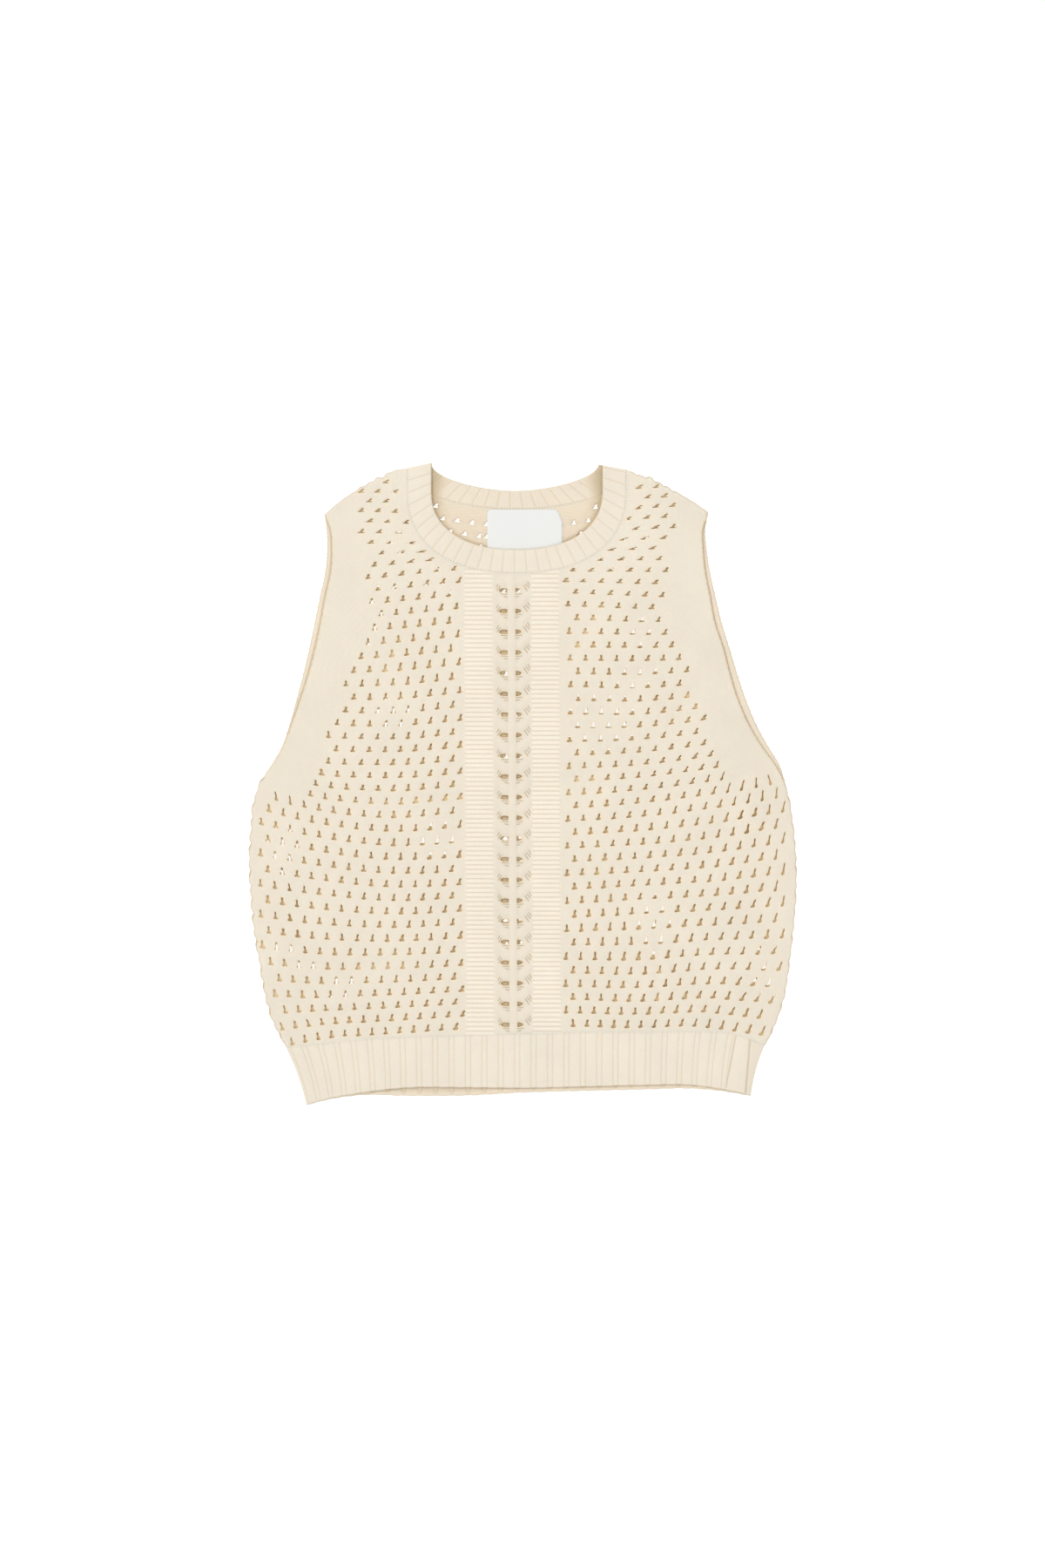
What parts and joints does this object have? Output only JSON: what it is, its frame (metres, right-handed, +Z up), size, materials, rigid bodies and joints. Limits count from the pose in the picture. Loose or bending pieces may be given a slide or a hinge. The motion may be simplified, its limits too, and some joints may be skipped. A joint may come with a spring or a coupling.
{
  "type": "sleeveless jumper",
  "caption": "Sleeveless cream cotton jumper laid flat: net-knit body, laddered centre between purl columns, ribbed neckband and hem, bare label inside the back of the neck.",
  "frame": {"origin": "under the middle of the garment's outline, on the surface that it lies on", "axes": "+X to the right as seen from above, +Y from hem to neck, +Z up from the surface"},
  "size_m": [0.4895, 0.5747, 0.0067],
  "materials": {
    "cream_knit": "matte cotton knit, right side",
    "cream_knit_inside": "matte cotton knit, seen on its inside",
    "cream_rib": "matte cotton rib knit",
    "cream_rib_inside": "matte cotton rib knit, seen on its inside",
    "label_tape": "smooth white woven tape"
  },
  "bodies": {
    "root": {"front": "cream_knit", "back": "cream_knit_inside", "hem_front": "cream_rib", "hem_back": "cream_rib_inside", "neckband_front": "cream_rib", "neckband_back": "cream_rib_inside", "label": "label_tape"}
  },
  "joints": []
}
